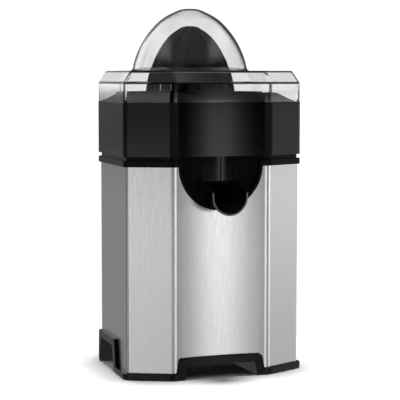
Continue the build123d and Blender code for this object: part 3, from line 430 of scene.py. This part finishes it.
def wound_wire(name, low, high):
    """A tube of round wire wound round the spindle inside a box, its two ends cut square."""
    steps = SPRING_TURNS * TURN_STEPS
    half = SPRING_WIRE / 2
    radius = (high.x - low.x) / 2 - half
    mesh = bmesh.new()
    rings = []
    for step in range(steps + 1):
        turn = 2 * math.pi * step / TURN_STEPS
        outward = Vector((math.cos(turn), math.sin(turn), 0.0))
        height = low.z + half + (high.z - low.z - SPRING_WIRE) * step / steps
        centre = SPINDLE + outward * radius + upward * height
        ring = []
        for side in range(WIRE_SIDES):
            angle = 2 * math.pi * side / WIRE_SIDES
            offset = outward * math.cos(angle) + upward * math.sin(angle)
            ring.append(mesh.verts.new(centre + half * offset))
        rings.append(ring)
    for near, far in zip(rings, rings[1:]):
        for side in range(WIRE_SIDES):
            after = (side + 1) % WIRE_SIDES
            mesh.faces.new((near[side], near[after], far[after], far[side])).smooth = True
    mesh.faces.new(rings[0])
    mesh.faces.new(rings[-1])
    bmesh.ops.recalc_face_normals(mesh, faces=mesh.faces)
    data = bpy.data.meshes.new(name)
    mesh.to_mesh(data)
    mesh.free()
    wire = bpy.data.objects.new(name, data)
    scene.collection.objects.link(wire)
    return wire


spring_low, spring_high = (Vector(corner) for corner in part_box("return_spring"))
spring = wound_wire("spring_wire", spring_low, spring_high)
spring.data.materials.append(materials["bright_steel"])
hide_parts("return_spring")
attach(spring, "shaft")
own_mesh(spring)


# Studio: soft boxes round the horizon, as azimuths in degrees with brightnesses
LEFT_SIDE = [
    (-180, 0.30), (-172, 0.36), (-150, 0.36), (-128, 0.03), (-116, 0.05),
    (-106, 0.70), (-82, 0.70), (-74, 0.03), (-68, 0.03), (-67, 0.0),
]
LEFT_FRONT = [(-68, 0.0), (-56, 1.85), (-34, 1.85), (-26, 0.0)]
FRONT = [(-34, 0.0), (-26, 0.50), (6, 0.40), (20, 0.25), (50, 0.20), (57, 0.0)]
FRONT_GLOW = [(-4, 0.0), (4, 0.26), (10, 0.50), (16, 0.45), (24, 0.20), (40, 0.20), (46, 0.0)]
STREAK = [(10, 0.0), (15, 1.0), (19, 2.8), (24, 2.8), (28, 1.0), (32.5, 0.0)]
RIGHT_SIDE = [(50, 0.0), (57, 1.30), (100, 1.30), (116, 0.20), (140, 0.12), (141, 0.0)]
RIGHT_BACK = [(139, 0.0), (140, 0.12), (149, 0.05), (172, 0.05), (180, 0.30)]
HIGH_RIGHT = [(100, 0.0), (108, 1.20), (126, 1.20), (132, 0.0)]
HIGH_LEFT = [(-175, 0.0), (-168, 1.20), (-150, 1.20), (-138, 0.0)]
HIGH_PATCH = [(-180, 0.70), (-175.5, 0.70), (-173, 0.0)]

# Each box, with a reach of heights and its shares of light below and above it
BOXES = [
    (LEFT_SIDE, (-0.062, -0.045), 1.0, 0.53),
    (LEFT_FRONT, (-0.056, -0.030), 1.0, 0.42),
    (FRONT, (-0.062, -0.050), 1.0, 0.03),
    (FRONT_GLOW, (-0.062, -0.050), 1.0, 0.0),
    (STREAK, (-0.0185, -0.0135), 1.0, 0.20),
    (RIGHT_SIDE, (-0.016, -0.009), 1.0, 0.7),
    (RIGHT_BACK, (-0.016, -0.009), 1.0, 1.0),
    (HIGH_RIGHT, (-0.012, -0.004), 0.0, 1.0),
    (HIGH_LEFT, (-0.012, -0.004), 0.0, 1.0),
    (HIGH_PATCH, (0.165, 0.19), 0.0, 1.0),
    (HIGH_PATCH, (0.235, 0.26), 0.0, -1.0),
]
BRIGHTEST = 3.0
FRONT_PLACE = 0.5
FULL_TURN = 360

# The room round the boxes: reaches are of a ray's height, of how far it points ahead, or aside
BOX_TOPS = (0.10, 0.22)
BACK_REACH = (-0.9, -0.6)
TOP_SHARE = 0.30
FRONT_REACH = (-0.1, 0.1)
DIP_REACH = (-0.17, -0.06)
FRONT_DIP = 0.42
DROP_REACH = (-0.014, -0.004)
FRONT_DROP = 0.75
ASIDE_REACH = (0.48, 0.68)
OVERHEAD_REACH = (0.40, 0.65)
OVERHEAD = 1.0
CENTRE_TOP = 0.20
SURROUND = 1.04
NO_BOUNCE = 0.5


def soft_box(graph, place, height, stops, reach, below, above):
    """Light by azimuth, in degrees from the front towards +X, with a share that changes with height."""
    greys = [(degrees / FULL_TURN + FRONT_PLACE, value / BRIGHTEST) for degrees, value in stops]
    share = graph.fade(height, reach, below * BRIGHTEST, above * BRIGHTEST)
    return graph.times(graph.ramp(place, *greys), share)


def build_world():
    """White surroundings, in which reflections show low boxes round a dark room and a soft box overhead."""
    world = bpy.data.worlds.new("studio")
    world.use_nodes = True
    graph = Graph(world.node_tree)
    direction = graph.node("ShaderNodeTexCoord").outputs["Generated"]
    axes = graph.node("ShaderNodeSeparateXYZ")
    graph.fill(axes, Vector=direction)
    height = axes.outputs["Z"]
    ahead = graph.times(axes.outputs["Y"], -1.0)
    azimuth = graph.math("ARCTAN2", axes.outputs["X"], ahead)
    place = graph.math("MULTIPLY_ADD", azimuth, 0.5 / math.pi, FRONT_PLACE)

    around = soft_box(graph, place, height, *BOXES[0])
    for setting in BOXES[1:]:
        around = graph.math("ADD", around, soft_box(graph, place, height, *setting))
    high_share = graph.fade(ahead, BACK_REACH, 1.0, TOP_SHARE)
    around = graph.times(around, graph.fade(height, BOX_TOPS, 1.0, high_share))
    front = graph.fade(ahead, FRONT_REACH, 0.0, 1.0)
    dip = graph.times(graph.fade(height, DIP_REACH, FRONT_DIP, 0.0), front)
    drop = graph.times(graph.fade(height, DROP_REACH, 0.0, FRONT_DROP), front)
    around = graph.times(around, graph.math("SUBTRACT", 1.0, graph.math("ADD", dip, drop)))

    sideways = graph.node("ShaderNodeVectorMath", operation="DOT_PRODUCT")
    graph.give(sideways.inputs[0], direction)
    graph.give(sideways.inputs[1], rightward)
    distance = graph.math("ABSOLUTE", sideways.outputs["Value"])
    aside = graph.fade(distance, ASIDE_REACH, CENTRE_TOP, OVERHEAD)
    overhead = graph.times(graph.fade(height, OVERHEAD_REACH, 0.0, 1.0), aside)
    lit = graph.math("ADD", around, overhead)

    path = graph.node("ShaderNodeLightPath").outputs
    bounces = graph.math("ADD", path["Glossy Depth"], path["Diffuse Depth"])
    straight = graph.math("LESS_THAN", bounces, NO_BOUNCE)
    through = graph.times(path["Is Transmission Ray"], straight)
    seen = graph.math("MAXIMUM", path["Is Camera Ray"], through)
    unseen = graph.math("SUBTRACT", 1.0, seen)
    strength = graph.math("MULTIPLY_ADD", lit, unseen, graph.times(seen, SURROUND))
    graph.fill(graph.tree.nodes["Background"], Color=rgba(1.0), Strength=strength)
    scene.world = world


build_world()

# A lamp high above, which lights the table but isn't mirrored
LAMP_HEIGHT = 3.20
LAMP_BACK = 0.06
LAMP_RIGHT = 0.03
LAMP_WIDTH = 0.55
LAMP_POWER = 110.0
lamp_data = bpy.data.lights.new("lamp", "AREA")
lamp_data.size = LAMP_WIDTH
lamp_data.energy = LAMP_POWER
lamp = bpy.data.objects.new("lamp", lamp_data)
lamp.location = SPINDLE + forward * LAMP_BACK + rightward * LAMP_RIGHT + upward * LAMP_HEIGHT
lamp.visible_glossy = False
lamp.visible_transmission = False
scene.collection.objects.link(lamp)

# A round pale table
TABLE_RADIUS = 0.19
TABLE_SIDES = 96
PAPER_SCALE = 4.0
PAPER_DARK = 0.965
PAPER_LIGHT = 0.98
PAPER_ROUGHNESS = 0.9
rim = [(0.0, 0.0, 0.0)]
for step in range(TABLE_SIDES):
    angle = 2 * math.pi * step / TABLE_SIDES
    rim.append((TABLE_RADIUS * math.cos(angle), TABLE_RADIUS * math.sin(angle), 0.0))
faces = [(0, 1 + step, 1 + (step + 1) % TABLE_SIDES) for step in range(TABLE_SIDES)]
table_mesh = bpy.data.meshes.new("studio_table")
table_mesh.from_pydata(rim, [], faces)
table = bpy.data.objects.new("studio_table", table_mesh)
scene.collection.objects.link(table)
paper = Shader("studio_paper")
mottle = paper.over(paper.noise(PAPER_SCALE), PAPER_DARK, PAPER_LIGHT)
paper.surface(Base_Color=mottle, Roughness=PAPER_ROUGHNESS)
table_mesh.materials.append(paper.material)
table.visible_glossy = False
